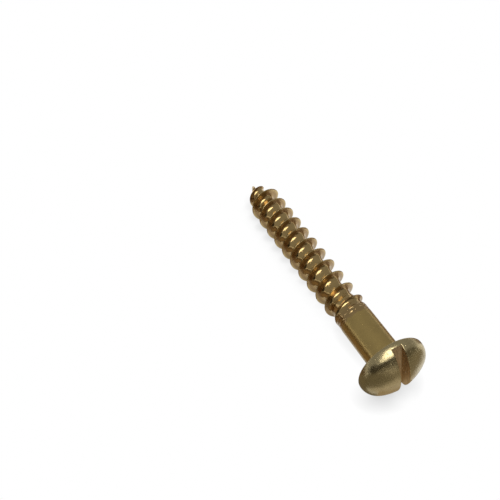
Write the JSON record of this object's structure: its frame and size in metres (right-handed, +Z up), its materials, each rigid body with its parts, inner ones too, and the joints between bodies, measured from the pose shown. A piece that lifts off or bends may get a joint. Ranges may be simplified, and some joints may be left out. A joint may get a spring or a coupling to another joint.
{
  "type": "round head wood screw",
  "caption": "Slotted round head wood screw in plain brass: domed head with a straight driver slot, short plain shank, coarse right-hand thread and a gimlet point.",
  "frame": {"origin": "centre of the bounding box on the surface that the screw lies on", "axes": "+X from the point towards the head, +Z up from the surface it lies on; the axis leans by 3.63 degrees, point end lower"},
  "size_m": [0.034, 0.0076, 0.0077],
  "materials": {
    "brass": "satin, brighter on the thread"
  },
  "bodies": {
    "root": {"round_head_wood_screw": "brass"}
  },
  "joints": []
}
